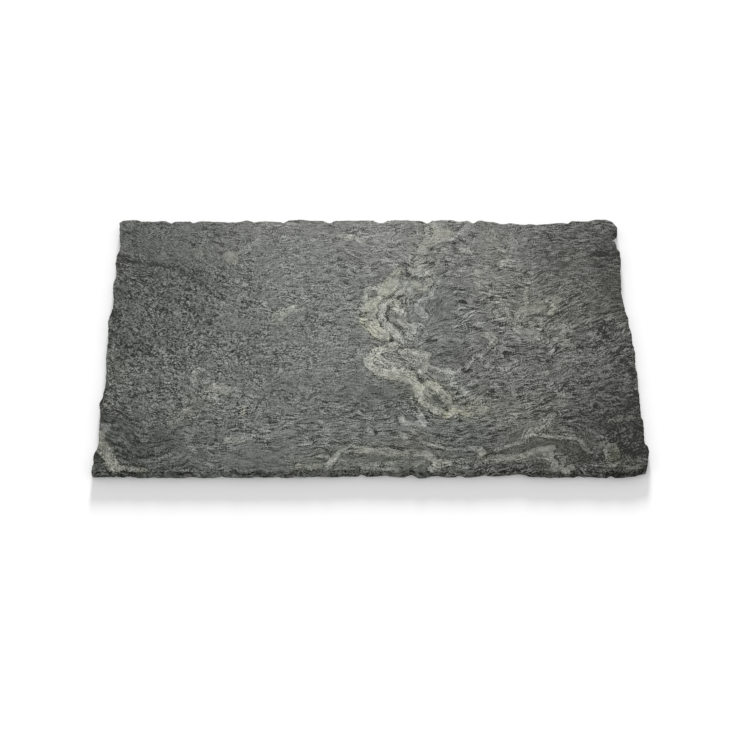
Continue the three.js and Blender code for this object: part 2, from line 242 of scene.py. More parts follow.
# Dark mica, as (darkness, [(x, y, half width), ...]). The places run along a streak.
MICA = [
    # round the bend
    (0.5, [(86, 194, 4), (88, 204, 4)]),
    (0.6, [(94, 192, 2), (104, 190, 3), (124, 191, 3), (140, 193, 2)]),
    (0.85, [(35, 127, 2.5), (46, 131, 3.5), (54, 141, 3)]),
    (0.9, [(64, 128, 4), (74, 134, 3.5)]),
    (0.7, [(72, 115, 3), (82, 109, 4), (94, 111, 3), (104, 117, 3)]),
    (0.7, [(84, 124, 4), (94, 123, 4)]),
    (0.3, [(106, 136, 6), (128, 143, 6)]),
    (1.0, [(-14, 78, 3), (-8, 83, 4), (0, 79, 3)]),
    (1.1, [(15, 80, 4), (12, 66, 3)]),
    (0.6, [(24, 52, 1.5), (30, 38, 1.5), (40, 22, 1.5), (52, 8, 2)]),
    (0.8, [(43, 104, 2), (39, 92, 4), (40, 78, 3), (38, 64, 4), (46, 50, 4), (56, 38, 4), (72, 26, 3)]),
    (0.7, [(60, 38, 2.5), (72, 32, 2.5), (84, 29, 2.5)]),
    (0.6, [(74, 18, 4), (80, 8, 3)]),
    (0.6, [(56, 74, 5), (60, 66, 4)]),
    (0.35, [(82, 100, 2), (85, 88, 3), (84, 66, 2), (88, 54, 2)]),
    (0.6, [(46, 3, 3), (56, -3, 3), (36, -6, 4), (24, -14, 3)]),
    (0.3, [(-40, -12, 4), (-10, -10, 3), (14, -14, 3)]),
    (0.6, [(62, -26, 2), (84, -20, 2), (106, -24, 3), (128, -28, 2)]),
    (0.4, [(22, -44, 2), (48, -54, 2), (74, -62, 2), (92, -78, 3), (102, -100, 3), (104, -112, 3)]),
    (0.6, [(110, -116, 3), (132, -116, 2), (152, -118, 2), (170, -124, 3), (164, -142, 3)]),
    (1.15, [(130, -5, 5), (142, -1, 6), (148, -4, 4)]),
    (0.85, [(144, -90, 4), (160, -98, 3)]),
    (0.6, [(143, -164, 5), (146, -177, 6), (156, -187, 5)]),
    (0.9, [(168, -205, 3)]),
    (1.0, [(182, -181, 3), (196, -178, 3)]),
    (0.45, [(206, -192, 4), (222, -190, 5)]),
    (0.95, [(212, -93, 6), (222, -94, 6)]),
    (1.1, [(271, -152, 6), (268, -163, 8)]),
    (0.5, [(8, 146, 6), (8, 134, 8)]),
    (0.7, [(132, -154, 6)]),
    (0.65, [(384, -62, 4), (376, -50, 4), (386, -40, 3), (404, -40, 4), (412, -56, 4), (400, -68, 4)]),
    (0.7, [(116, -226, 3), (126, -228, 3)]),
    (0.7, [(84, -184, 3), (98, -200, 3), (108, -212, 3)]),
    # the back edge and the head of the broad vein
    (0.9, [(112, 373, 4), (126, 373, 4)]),
    (0.6, [(142, 354, 4), (143, 348, 3)]),
    (0.7, [(142, 337, 4)]),
    (0.4, [(122, 323, 3)]),
    (0.3, [(100, 354, 8)]),
    (0.9, [(104, 303, 4)]),
    (0.5, [(172, 304, 3), (186, 303, 5), (199, 306, 4), (196, 288, 6), (200, 274, 5)]),
    (0.7, [(206, 346, 4), (214, 356, 4), (222, 364, 3)]),
    (0.6, [(214, 324, 6), (218, 310, 5), (228, 300, 3)]),
    (1.0, [(124, 236, 3), (134, 240, 5), (144, 235, 6)]),
    (0.7, [(94, 252, 3), (100, 243, 3)]),
    (0.7, [(84, 226, 5), (78, 238, 4), (66, 238, 3)]),
    (1.0, [(130, 260, 5)]),
    (0.3, [(138, 284, 3), (148, 288, 2)]),
    (0.8, [(44, 256, 3), (66, 263, 3)]),
    (0.7, [(88, 331, 4), (108, 338, 4)]),
    (0.7, [(-38, 342, 5), (-26, 348, 5), (-14, 343, 5)]),
    (0.5, [(-66, 252, 3), (-50, 238, 3), (-22, 235, 3)]),
    (0.7, [(172, 205, 3), (174, 194, 4)]),
    # the right half
    (0.5, [(230, 36, 3), (262, 36, 3), (300, 44, 2)]),
    (0.35, [(372, 116, 2), (380, 111, 3), (402, 108, 3), (412, 110, 2)]),
    (0.7, [(368, 74, 3), (386, 75, 3), (396, 75, 3), (410, 70, 4), (420, 60, 4), (404, 52, 3)]),
    (1.0, [(380, 39, 4), (386, 38, 4)]),
    (0.6, [(438, 106, 3), (448, 116, 3)]),
    (0.8, [(489, 102, 4), (500, 108, 4)]),
    (0.55, [(312, 142, 3), (338, 142, 3)]),
    (0.6, [(270, 154, 2), (300, 153, 2), (326, 158, 2), (350, 162, 3)]),
    (0.5, [(424, 162, 3), (440, 170, 4)]),
    (0.8, [(284, 92, 4), (290, 100, 6), (294, 108, 4)]),
    (0.6, [(320, 98, 2), (330, 94, 3), (330, 106, 2)]),
    (0.6, [(432, 78, 3), (446, 83, 3)]),
    (0.5, [(300, -18, 3), (324, -22, 3), (334, -34, 3)]),
    (0.5, [(360, -28, 3), (372, -33, 3)]),
    (0.5, [(326, 22, 1.5), (340, 8, 1.5), (350, -2, 1.5)]),
    (0.6, [(298, 14, 3), (310, 26, 4)]),
    (0.6, [(408, 10, 4), (390, -2, 3), (372, -6, 3)]),
    (1.0, [(535, 20, 5), (538, 8, 5), (548, 0, 4), (556, -10, 4)]),
    (0.6, [(520, 52, 7), (514, 38, 5), (534, 48, 8)]),
    (0.9, [(546, -40, 6), (556, -44, 5), (568, -28, 5)]),
    (0.8, [(568, -62, 4), (580, -74, 5)]),
    (0.9, [(584, -94, 6), (592, -90, 5)]),
    (0.9, [(474, -18, 3), (484, -6, 3)]),
    (0.8, [(506, 80, 3), (530, 79, 3), (556, 82, 4), (576, 80, 3)]),
    (0.9, [(418, 274, 3), (418, 266, 3)]),
    (1.0, [(387, 293, 4)]),
    (0.35, [(410, 326, 1.5), (440, 325, 1.5), (470, 324, 1.5)]),
    (0.8, [(376, 272, 3), (404, 270, 3)]),
    (0.6, [(408, 259, 3), (456, 260, 3)]),
    (0.7, [(526, 264, 6), (546, 266, 8), (570, 274, 7), (592, 270, 6)]),
    (0.6, [(528, 230, 4), (546, 228, 4)]),
    (0.9, [(476, 364, 5), (488, 374, 5), (508, 378, 4)]),
    (0.4, [(500, 300, 3), (520, 308, 3)]),
    (0.6, [(402, -178, 4), (408, -166, 3), (405, -150, 3)]),
    (0.75, [(372, -194, 4), (388, -186, 4), (402, -180, 4)]),
    (0.6, [(362, -222, 3), (376, -213, 3), (392, -206, 3), (402, -198, 3)]),
    (0.4, [(314, -211, 2), (344, -204, 2), (366, -198, 2)]),
    (0.65, [(420, -210, 3), (444, -208, 3)]),
    # between the ripple and the bands of the front edge
    (0.3, [(300, -322, 4), (324, -312, 8), (350, -302, 10), (384, -297, 9), (420, -302, 12)]),
    (0.22, [(420, -304, 12), (434, -322, 16), (458, -338, 14), (484, -346, 12)]),
    (0.6, [(222, -350, 3), (240, -340, 4), (262, -330, 4), (280, -326, 3), (320, -324, 3),
           (350, -314, 2)]),
    (0.3, [(190, -318, 2), (222, -326, 4), (230, -336, 4)]),
    (0.5, [(380, -288, 2), (420, -291, 2), (446, -297, 3), (458, -318, 3), (470, -328, 2)]),
    (0.35, [(220, -368, 5), (262, -364, 8), (312, -362, 9), (356, -356, 7), (378, -362, 6)]),
    (0.5, [(516, -350, 3), (526, -352, 4)]),
    (0.4, [(546, -302, 6), (556, -318, 8), (570, -330, 10)]),
    (0.5, [(410, -228, 3), (440, -226, 4), (480, -226, 3), (516, -224, 3)]),
    (0.5, [(-80, -300, 2), (-58, -298, 4), (-38, -300, 4), (-14, -303, 3)]),
    (0.75, [(44, -311, 3), (64, -313, 3), (80, -317, 4), (86, -322, 4)]),
    (0.6, [(-66, -327, 1.5), (-40, -328, 1.5), (-14, -331, 2)]),
    (0.2, [(-60, -338, 4), (-20, -340, 5), (20, -340, 5), (56, -342, 4)]),
    (0.6, [(130, -336, 2), (150, -339, 2)]),
    (0.5, [(-30, -366, 5), (-24, -374, 4)]),
    (0.25, [(-114, -344, 3), (-100, -346, 4)]),
    # the left half
    (0.42, [(-606, 260, 11), (-588, 252, 11), (-566, 244, 8), (-540, 238, 7), (-500, 232, 7)]),
    (0.32, [(-500, 232, 7), (-470, 224, 10), (-448, 210, 10), (-424, 200, 8), (-404, 188, 9)]),
    (0.25, [(-404, 184, 9), (-392, 170, 8), (-376, 148, 7), (-350, 132, 6)]),
    (0.6, [(-446, 164, 4), (-430, 154, 4)]),
    (0.7, [(-378, 338, 3), (-368, 330, 4)]),
    (0.7, [(-360, 303, 3), (-352, 298, 3)]),
    (0.3, [(-350, 332, 3), (-336, 336, 3)]),
    (0.4, [(-545, 142, 4), (-538, 147, 3)]),
    (0.6, [(-430, 308, 3), (-424, 296, 4)]),
    (0.8, [(-498, 92, 4), (-486, 88, 5), (-476, 83, 6), (-466, 81, 4)]),
    (0.7, [(-428, 104, 4), (-420, 90, 5)]),
    (0.7, [(-384, 50, 4), (-374, 56, 4), (-368, 44, 5)]),
    (0.8, [(-600, 84, 6), (-592, 66, 7), (-580, 58, 5)]),
    (0.9, [(-600, 27, 3), (-580, 20, 3)]),
    (0.8, [(-512, -24, 4), (-498, -22, 4)]),
    (0.4, [(-530, -6, 3)]),
    (0.7, [(-548, -72, 4), (-536, -78, 5), (-526, -70, 4)]),
    (0.7, [(-440, -60, 3), (-416, -55, 3), (-396, -53, 3), (-376, -60, 3)]),
    (0.8, [(-346, -96, 4), (-336, -84, 2)]),
    (0.6, [(-300, 116, 4), (-280, 112, 4), (-266, 108, 3)]),
    (0.6, [(-486, -148, 3), (-498, -154, 3), (-534, -168, 4), (-526, -176, 3)]),
    (0.45, [(-240, -168, 2), (-252, -196, 3), (-266, -222, 3), (-286, -248, 3), (-300, -270, 3)]),
    (0.5, [(-290, -166, 2), (-262, -172, 2), (-240, -172, 2)]),
    (0.5, [(-344, -222, 3), (-342, -290, 3), (-352, -306, 3)]),
    (0.55, [(-552, -318, 3), (-526, -332, 4), (-496, -338, 4), (-468, -330, 4), (-442, -322, 3)]),
    (0.5, [(-520, -292, 4), (-494, -298, 4), (-446, -290, 2), (-430, -286, 2)]),
    (0.65, [(-482, -373, 3), (-452, -371, 3), (-424, -362, 3), (-406, -357, 3)]),
    (0.6, [(-546, -358, 2), (-512, -357, 3), (-488, -362, 4)]),
    (0.35, [(-600, -340, 8), (-594, -360, 8)]),
    (0.3, [(-594, -216, 8), (-590, -238, 7)]),
    (0.8, [(-600, -196, 5), (-598, -148, 5)]),
    (0.4, [(-160, -264, 4), (-120, -266, 3)]),
    (0.6, [(-140, 94, 2), (-100, 88, 2), (-60, 88, 2), (-42, 92, 2)]),
    (0.55, [(-140, 54, 2), (-100, 52, 2), (-74, 44, 3), (-46, 42, 2)]),
    (0.4, [(-560, 345, 3), (-590, 338, 5)]),
]

# Scattered blotches of mica, all of one darkness, as (x, y, half width).
BLOTCH_DARKNESS = 0.6
BLOTCHES = [
    (-574, -14, 7), (-560, -20, 5), (-548, -24, 7), (-530, -32, 5), (-516, -40, 5), (-502, -47, 7),
    (-540, -48, 5), (-504, -34, 6), (-540, 18, 7), (-552, 30, 5), (-580, 40, 7), (-592, 70, 7),
    (-455, 38, 6), (-400, 68, 7), (-390, 108, 7), (-432, 112, 5), (-418, 95, 7), (-480, 92, 7),
    (-480, 165, 6), (-470, 172, 5), (-415, 215, 6), (-355, 128, 5), (-345, 160, 5), (-300, -48, 7),
    (-350, 18, 5), (-380, -15, 4), (464, 119, 5), (50, 196, 5), (-22, 158, 5),
]

# How light the stone is, from 0 to 1 as the eye sees it: the level far from any of these broad
# clouds, and each cloud's (x, y, radius along X, radius along Y, change of lightness). Besides the
# stone's own lighter and darker patches, the clouds make the slab darker towards its left and right
# edges and its front corners, and lighter towards the back middle. The thin ones along the front
# edge are painted shade on the split face there.
LIGHTNESS = 0.421
LIGHTNESS_AND_SHADE_CLOUDS = [
    (60, 330, 300, 170, 0.08), (-190, 60, 230, 190, 0.04), (60, 60, 120, 220, 0.03),
    (300, 110, 190, 190, 0.04), (-60, -230, 330, 130, 0.02), (-340, -150, 90, 60, 0.02),
    (580, -270, 110, 170, -0.1), (600, -285, 60, 100, -0.055), (600, 60, 90, 330, -0.08),
    (605, 240, 60, 170, -0.045), (560, 270, 60, 60, -0.03), (575, 180, 40, 50, -0.045),
    (510, 325, 90, 50, -0.035), (438, 225, 60, 135, -0.05), (430, 235, 50, 40, -0.03),
    (468, 48, 55, 50, -0.04), (525, 42, 20, 22, -0.03), (505, -150, 60, 60, -0.03),
    (375, -145, 50, 30, 0.02), (430, -240, 120, 80, -0.02), (480, -246, 70, 36, -0.04),
    (540, -320, 110, 60, -0.02), (440, -350, 110, 34, -0.05), (230, -305, 90, 40, -0.05),
    (-525, -305, 110, 80, -0.1), (-575, -240, 40, 35, -0.045), (-325, -350, 60, 26, -0.015),
    (-560, 200, 150, 160, -0.05), (-600, -20, 80, 260, -0.04), (-560, 350, 60, 40, -0.02),
    (-470, 15, 120, 60, -0.04), (-430, 185, 90, 60, -0.025), (-275, -75, 50, 50, -0.025),
    (-75, -10, 90, 80, 0.03), (-125, -75, 50, 50, 0.02), (-170, 120, 80, 60, 0.02),
    (-170, 250, 70, 70, 0.025), (-235, 350, 95, 42, 0.055), (-15, 345, 50, 40, 0.025),
    (-60, 235, 50, 40, -0.02), (150, 320, 50, 50, 0.015), (215, 240, 60, 50, -0.04),
    (40, 205, 60, 26, -0.03), (300, 310, 50, 50, 0.01), (225, 85, 45, 45, 0.035),
    (225, 35, 40, 40, 0.02), (158, 96, 42, 40, -0.05), (180, -45, 45, 34, -0.06),
    (5, 110, 30, 45, 0.03), (80, 120, 45, 55, 0.045), (10, 45, 35, 35, 0.03),
    (60, 20, 40, 45, 0.03), (135, 0, 35, 22, 0.03), (10, -55, 30, 35, 0.04),
    (60, -80, 50, 34, 0.05), (110, -45, 40, 18, 0.04), (160, -92, 40, 12, 0.03),
    (110, -150, 24, 32, 0.05), (170, -208, 60, 22, 0.03), (190, -140, 70, 40, 0.025),
    (150, -140, 40, 30, 0.02), (20, -170, 75, 45, -0.05), (285, -115, 60, 40, 0.02),
    (300, -215, 50, 40, 0.03), (400, -40, 110, 40, -0.02), (100, -304, 50, 21, -0.05),
    # painted shade: these thin clouds along the front edge darken the split face and the strip of the
    # top beside it
    (-50, -366, 560, 18, -0.03), (320, -388, 90, 12, -0.07), (560, -388, 80, 12, -0.06),
    (-20, -388, 90, 12, -0.04),
]

# Where the grain has less (+) or more (-) contrast than elsewhere, at most as much more as
# LEAST_CALM: (x, y, radii, share).
LEAST_CALM = -0.4
CALM_CLOUDS = [
    (0, 400, 900, 190, 0.32), (30, -168, 75, 36, 0.4), (158, 92, 42, 42, 0.4),
    (180, -48, 40, 30, 0.45), (-120, 30, 170, 170, 0.14), (-330, -220, 250, 90, 0.05),
    (20, -290, 240, 60, 0.15), (560, -270, 90, 90, 0.25), (30, -345, 90, 10, 0.4),
    (-480, -270, 110, 50, 0.4), (-334, 254, 16, 16, 0.8), (390, -305, 90, 20, 0.45),
    (95, 165, 40, 18, 0.5), (170, 335, 24, 26, 0.3), (-500, 275, 80, 28, 0.5),
    (350, -308, 110, 24, 0.3), (450, -325, 50, 28, 0.2), (40, -346, 120, 24, 0.3),
    (300, -338, 60, 12, 0.3), (8, 134, 12, 12, 0.6), (143, -174, 8, 14, 0.8),
    (116, 92, 16, 22, 0.5), (535, 110, 40, 40, 0.4), (-40, -130, 90, 40, 0.3),
    (45, 165, 20, 20, 0.5), (370, 92, 50, 26, 0.5), (-60, 182, 12, 12, 0.6),
    (355, 14, 30, 18, 0.35), (530, -330, 60, 50, -0.2), (-578, -320, 24, 60, 0.4),
    (-300, -10, 200, 70, 0.2), (-340, 120, 200, 90, 0.1), (-200, -345, 100, 25, 0.25),
    (320, -280, 120, 50, 0.12), (-300, -325, 120, 40, 0.25), (-200, 270, 150, 90, 0.18),
    (-130, -190, 130, 60, 0.18), (-280, -350, 140, 30, 0.4), (470, 240, 60, 60, 0.2),
    (-540, 290, 70, 50, -0.2), (-565, -70, 50, 70, -0.25), (-400, 160, 60, 60, -0.2),
    (200, 280, 50, 50, -0.15), (-340, -120, 90, 60, -0.15),
]

# How distinct the layers are far from these clouds, and where they are more (+) or less (-) so:
# (x, y, radii, share).
ORDER = 0.66
ORDER_CLOUDS = [
    (-450, 40, 230, 280, -0.4), (-150, 0, 140, 160, -0.15), (0, -280, 700, 90, 0.15),
    (60, 20, 130, 200, 0.1), (330, 60, 170, 140, 0.15), (540, -290, 80, 80, -0.4),
    (425, -335, 60, 30, -0.3),
]

# Where the ground is olive: (x, y, radii, share).
OLIVE_CLOUDS = [
    (390, 80, 100, 70, 0.8), (300, 140, 120, 90, 0.6), (560, 150, 90, 110, 0.8),
    (430, 0, 200, 400, 0.2), (440, -290, 150, 70, 0.25), (300, 300, 40, 80, 0.7),
    (480, 270, 40, 60, 0.4), (200, -200, 110, 60, 0.8), (340, -210, 80, 60, 0.7),
    (390, -300, 70, 50, 0.7), (20, -310, 130, 50, 0.7), (-100, -350, 120, 30, 0.6),
    (200, -360, 280, 30, 0.6), (540, -345, 60, 30, 0.6), (-590, -80, 45, 55, 1.0),
    (-530, -130, 60, 50, 0.3), (-380, -165, 80, 50, 0.6), (-430, -225, 50, 40, 0.5),
    (-560, -350, 50, 50, 0.5), (-370, 70, 60, 60, 0.4), (-220, 75, 60, 40, 0.4),
    (-420, 270, 50, 60, 0.3), (-330, 255, 40, 60, 0.3), (130, 290, 60, 120, 0.7),
    (50, 140, 60, 60, 0.8), (20, 50, 60, 70, 0.8), (60, -60, 90, 50, 0.6), (120, -150, 70, 50, 0.8),
    (-60, 70, 30, 70, 0.2),
]

# Where the ground is less (+) or more (-) green than elsewhere: (x, y, radii, share).
WARM_CLOUDS = [
    (300, 0, 130, 900, 0.5), (510, 0, 190, 900, 0.65), (380, -80, 220, 50, 0.4),
    (330, 310, 200, 90, 0.3), (-50, 390, 230, 100, 0.8), (-250, 375, 110, 50, 0.6),
    (0, 250, 80, 60, 0.5), (-150, 225, 60, 60, 0.4), (120, 290, 130, 90, 0.4),
    (210, 240, 60, 60, 0.5), (-595, 260, 40, 100, 0.6), (-350, 290, 60, 70, 0.4),
    (-570, -215, 70, 60, 0.4), (-325, -90, 40, 50, 0.4), (-425, -355, 50, 25, 0.6),
    (-270, -355, 80, 22, -0.4), (-195, -285, 90, 40, 0.3), (100, -295, 60, 40, 0.6),
    (-400, -160, 60, 30, 0.3), (35, 70, 70, 130, 0.65), (90, -90, 80, 50, 0.5),
    (20, -345, 160, 50, 0.3),
]

# Lines that the layers of the stone follow: (height in the stack of layers, places along the line).
LAYER_LINES = [
    (350, [(-560, 362), (-300, 352), (-100, 346), (80, 356)]),
    (135, [(-600, 352), (-520, 292), (-440, 222), (-360, 166), (-280, 142), (-180, 132), (-60, 132)]),
    (25, [(-600, 220), (-540, 168), (-470, 108), (-390, 60), (-300, 30), (-200, 18), (-60, 15)]),
    (-80, [(-600, 88), (-530, 38), (-450, -12), (-370, -52), (-280, -72), (-150, -80), (-40, -82)]),
    (-165, [(-600, -42), (-520, -92), (-430, -132), (-330, -160), (-220, -168), (-60, -165),
            (40, -160)]),
    (-240, [(-600, -150), (-540, -196), (-470, -226), (-380, -240), (-200, -240), (20, -240)]),
    (-300, [(-600, -240), (-520, -286), (-430, -298), (-250, -296), (-50, -294), (120, -296)]),
    (-350, [(-560, -350), (-450, -346), (-200, -352), (0, -350), (150, -356)]),
    (255, [(-260, 248), (-190, 268), (-130, 250), (-70, 272), (-20, 244), (60, 256)]),
    (300, [(150, 285), (200, 300), (260, 296), (340, 300), (460, 305), (590, 300)]),
    (230, [(150, 190), (172, 226), (210, 236), (300, 222), (420, 232), (590, 228)]),
    (165, [(135, 120), (162, 176), (230, 180), (300, 172), (372, 176), (430, 184), (480, 190)]),
    (85, [(230, 60), (300, 86), (370, 98), (420, 128), (470, 166), (520, 180)]),
    (10, [(190, -10), (260, 8), (330, 30), (400, 58), (460, 100), (540, 140)]),
    (-60, [(240, -70), (320, -50), (420, -18), (500, 12), (595, 60)]),
    (-115, [(240, -130), (330, -102), (440, -76), (595, -22)]),
    (-170, [(260, -180), (370, -154), (470, -124), (595, -84)]),
    (-220, [(200, -246), (300, -220), (410, -190), (510, -168), (595, -150)]),
    (-270, [(150, -296), (250, -276), (340, -252), (420, -226), (520, -214), (595, -206)]),
    (-325, [(208, -332), (300, -310), (366, -284), (430, -290), (468, -310), (540, -306), (595, -290)]),
    (-365, [(200, -362), (310, -334), (390, -322), (440, -350), (520, -362), (595, -366)]),
]


def smooth_line(places, step=5.0):
    """Points about one step apart on a smooth curve through the places."""
    ends = [2 * np.array(places[0]) - places[1], *map(np.array, places),
            2 * np.array(places[-1]) - places[-2]]
    points = []
    for a, b, c, d in zip(ends, ends[1:], ends[2:], ends[3:]):
        count = max(1, round(np.linalg.norm(c - b) / step))
        for t in np.arange(count) / count:
            points.append(
                0.5 * (2 * b + (c - a) * t + (2 * a - 5 * b + 4 * c - d) * t**2
                       + (3 * b - a - 3 * c + d) * t**3)
            )
    points.append(ends[-2])
    return np.array(points, float)


def clouds(at, shapes):
    """Sum of soft oval clouds at each point."""
    total = np.zeros(len(at))
    for x, y, along_x, along_y, amount in shapes:
        total += amount * np.exp(-((at[:, 0] - x) / along_x) ** 2 - ((at[:, 1] - y) / along_y) ** 2)
    return total


def bands(at, lines, margin=60.0, outside=-40.0, far=1000.0):
    """For each point: distance from the nearest long line, how far inside the band of any line, and
    the numbers that describe that band. A line counts only within a margin round it: where there is
    none, the point is far and outside. A long line has four places or more."""
    nearest = np.full(len(at), far)
    inside = np.full(len(at), outside)
    about = np.zeros((len(at), len(lines[0]) - 1))
    for *numbers, places in lines:
        line = smooth_line(places, step=4.0) if len(places) > 1 else np.array(places, float)
        low, high = line[:, :2].min(axis=0) - margin, line[:, :2].max(axis=0) + margin
        near = np.flatnonzero(((at > low) & (at < high)).all(axis=1))
        away = np.hypot(*(at[near, None, :] - line[None, :, :2]).transpose(2, 0, 1))
        if len(places) >= 4:
            nearest[near] = np.minimum(nearest[near], away.min(axis=1))
        depth = (line[:, 2] - away).max(axis=1)
        deeper = depth > inside[near]
        inside[near[deeper]] = depth[deeper]
        about[near[deeper]] = numbers
    return nearest, inside, about


def layers(at, reach=45.0, far_weight=1e-7, flat_weight=1e-9):
    """Height of each point in the stack of layers, which follows the layer lines within reach. Far
    from them all, it follows the nearest ones, by the far weight, and Y, by the flat weight."""
    weight = np.full(len(at), flat_weight)
    total = weight * at[:, 1]
    for height, places in LAYER_LINES:
        line = smooth_line(places, step=20.0)
        along = np.gradient(line, axis=0)
        along /= np.linalg.norm(along, axis=1)[:, None]
        for (x, y), (run, rise) in zip(line, along):
            away = (at[:, 0] - x) ** 2 + (at[:, 1] - y) ** 2
            here = np.exp(-away / (2 * reach**2)) + far_weight / (1 + away / reach**2)
            weight += here
            total += here * (height + run * (at[:, 1] - y) - rise * (at[:, 0] - x))
    return total / weight


# --- Settings ---


class StoneSettings(bpy.types.PropertyGroup):
    """Sizes and colours of the slab."""

    cell: FloatProperty(
        name="Face cell", description="Width of the mesh cells on the honed face",
        default=4 * MM, min=2 * MM, subtype="DISTANCE", unit="LENGTH",
    )
    underside_cells: IntProperty(
        name="Underside cell", description="Face cells across each cell of the sawn underside",
        default=4, min=1,
    )
    edge_cuts: IntProperty(
        name="Edge cuts", description="Cuts across each facet of the split edges",
        default=2, min=0, max=4,
    )
    break_depth: FloatProperty(
        name="Break depth", description="Height of the lumps of the split edges",
        default=1.8 * MM, subtype="DISTANCE", unit="LENGTH",
    )
    grain_depth: FloatProperty(
        name="Grain depth", description="Height of the grains that stand out of the split edges",
        default=0.7 * MM, subtype="DISTANCE", unit="LENGTH",
    )
    ground: FloatVectorProperty(
        name="Ground", description="Tint of the grey-green ground",
        default=(0.95, 1.0, 0.93), size=3, subtype="COLOR", min=0, max=1,
    )
    warm: FloatVectorProperty(
        name="Warm ground", description="Tint of the ground where it is less green",
        default=(0.993, 1.0, 0.945), size=3, subtype="COLOR", min=0, max=1,
    )
    olive: FloatVectorProperty(
        name="Olive", description="What the olive patches let through of the colour of the ground",
        default=(1.0, 1.0, 0.93), size=3, subtype="COLOR", min=0, max=1,
    )
    quartz: FloatVectorProperty(
        name="Quartz", description="Tint of the yellow parts of the pale veins",
        default=(0.995, 1.0, 0.72), size=3, subtype="COLOR", min=0, max=1,
    )
    contrast: FloatProperty(
        name="Contrast", description="How much lighter and darker than the stone its grain is",
        default=0.96, min=0,
    )
    roughness: FloatProperty(
        name="Honed roughness", description="Roughness of the honed face",
        default=0.8, min=0, max=1, subtype="FACTOR",
    )


class StageSettings(bpy.types.PropertyGroup):
    """Floor, light and camera."""

    floor_width: FloatProperty(
        name="Floor width", description="Width of the square floor",
        default=40.0, subtype="DISTANCE", unit="LENGTH",
    )
    floor_colour: FloatVectorProperty(
        name="Floor colour", description="Colour of the floor",
        default=(0.92, 0.92, 0.92), size=3, subtype="COLOR", min=0, max=1,
    )
    sky: FloatProperty(
        name="Sky strength", description="Strength of the even white light from all round",
        default=0.78, min=0,
    )
    sun: FloatProperty(
        name="Key strength", description="Strength of the soft key light behind the slab",
        default=4.5, min=0,
    )
    sun_height: FloatProperty(
        name="Key height", description="Angle of the key light above the floor",
        default=math.radians(14), subtype="ANGLE", unit="ROTATION",
    )
    sun_width: FloatProperty(
        name="Key width", description="Angle that the key light spans, which softens its shadows",
        default=math.radians(11), subtype="ANGLE", unit="ROTATION",
    )
    lens: FloatProperty(
        name="Lens", description="Focal length of the camera", default=95.74, min=10, unit="CAMERA",
    )
    elevation: FloatProperty(
        name="Camera elevation", description="Angle at which the camera looks down",
        default=math.radians(50.15), subtype="ANGLE", unit="ROTATION",
    )
    distance: FloatProperty(
        name="Camera distance", description="From the camera to the point it looks at",
        default=4.436, subtype="DISTANCE", unit="LENGTH",
    )
    aim: FloatVectorProperty(
        name="Aim", description="The point that the camera looks at, from the middle of the slab",
        default=(-7.4 * MM, -76.5 * MM, 0), size=3, subtype="TRANSLATION", unit="LENGTH",
    )


# --- Mesh work ---

LEVEL = 0.98  # a face whose normal rises or falls by more than this is level


def work_on(piece):
    """Makes the piece the only selected and the active object."""
    bpy.ops.object.select_all(action="DESELECT")
    piece.select_set(True)
    bpy.context.view_layer.objects.active = piece


def edit(piece, mode="FACE"):
    """Goes into edit mode on the piece, with vertices, edges or faces to select."""
    work_on(piece)
    bpy.ops.object.mode_set(mode="EDIT")
    bpy.ops.mesh.select_mode(type=mode)


def leave_edit():
    bpy.ops.object.mode_set(mode="OBJECT")


def read(items, name, width=1, kind=np.float32):
    """One property of all the vertices, edges or faces, as an array."""
    values = np.empty(len(items) * width, kind)
    items.foreach_get(name, values)
    return values.reshape(-1, width) if width > 1 else values


def select_only(piece, faces=None, edges=None):
    """Selects these faces or edges, given as a true or false for each, and nothing else."""
    mesh = piece.data
    for items in (mesh.vertices, mesh.edges, mesh.polygons):
        items.foreach_set("select", np.zeros(len(items), bool))
    if faces is not None:
        mesh.polygons.foreach_set("select", faces)
    if edges is not None:
        mesh.edges.foreach_set("select", edges)
        ends = read(mesh.edges, "vertices", 2, np.int32)[edges]
        chosen = np.zeros(len(mesh.vertices), bool)
        chosen[ends.ravel()] = True
        mesh.vertices.foreach_set("select", chosen)


def faces_facing(piece, up):
    """True for each face whose normal points up (1), down (-1) or sideways (0)."""
    rise = read(piece.data.polygons, "normal", 3)[:, 2]
    return np.abs(rise) < LEVEL if up == 0 else rise * up > LEVEL


def apply(piece, kind, **settings):
    """Adds a modifier to the piece and applies it."""
    work_on(piece)
    modifier = piece.modifiers.new(kind.title(), kind)
    for name, value in settings.items():
        setattr(modifier, name, value)
    bpy.ops.object.modifier_apply(modifier=modifier.name)


# --- Slab ---

OVERSHOOT = 5 * MM  # how far the split walls run past the sawn faces before they are trimmed
DIP = 0.35  # how much the layers lean, so that they cross the split edges at a slant


def split_walls(settings):
    """The split edges of the slab, as rough walls that run past both sawn faces."""
    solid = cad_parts["slab"]
    walls = bpy.data.objects.new("split_walls", solid.data.copy())
    bpy.context.scene.collection.objects.link(walls)
    edit(walls)
    bpy.ops.mesh.select_all(action="SELECT")
    bpy.ops.mesh.remove_doubles(threshold=0.01 * MM)
    leave_edit()
    select_only(walls, faces=~faces_facing(walls, 0))
    edit(walls)
    bpy.ops.mesh.delete(type="FACE")
    bpy.ops.mesh.select_all(action="SELECT")
    bpy.ops.mesh.subdivide(number_cuts=settings.edge_cuts)
    leave_edit()
    roughen(walls, "break", "VORONOI", size=11 * MM, depth=settings.break_depth)
    roughen(walls, "lumps", "CLOUDS", size=24 * MM, depth=0.8 * settings.break_depth)
    roughen(walls, "grain", "CLOUDS", size=2.6 * MM, depth=settings.grain_depth)
    run_past(walls, OVERSHOOT)
    run_past(walls, -OVERSHOOT)
    return walls


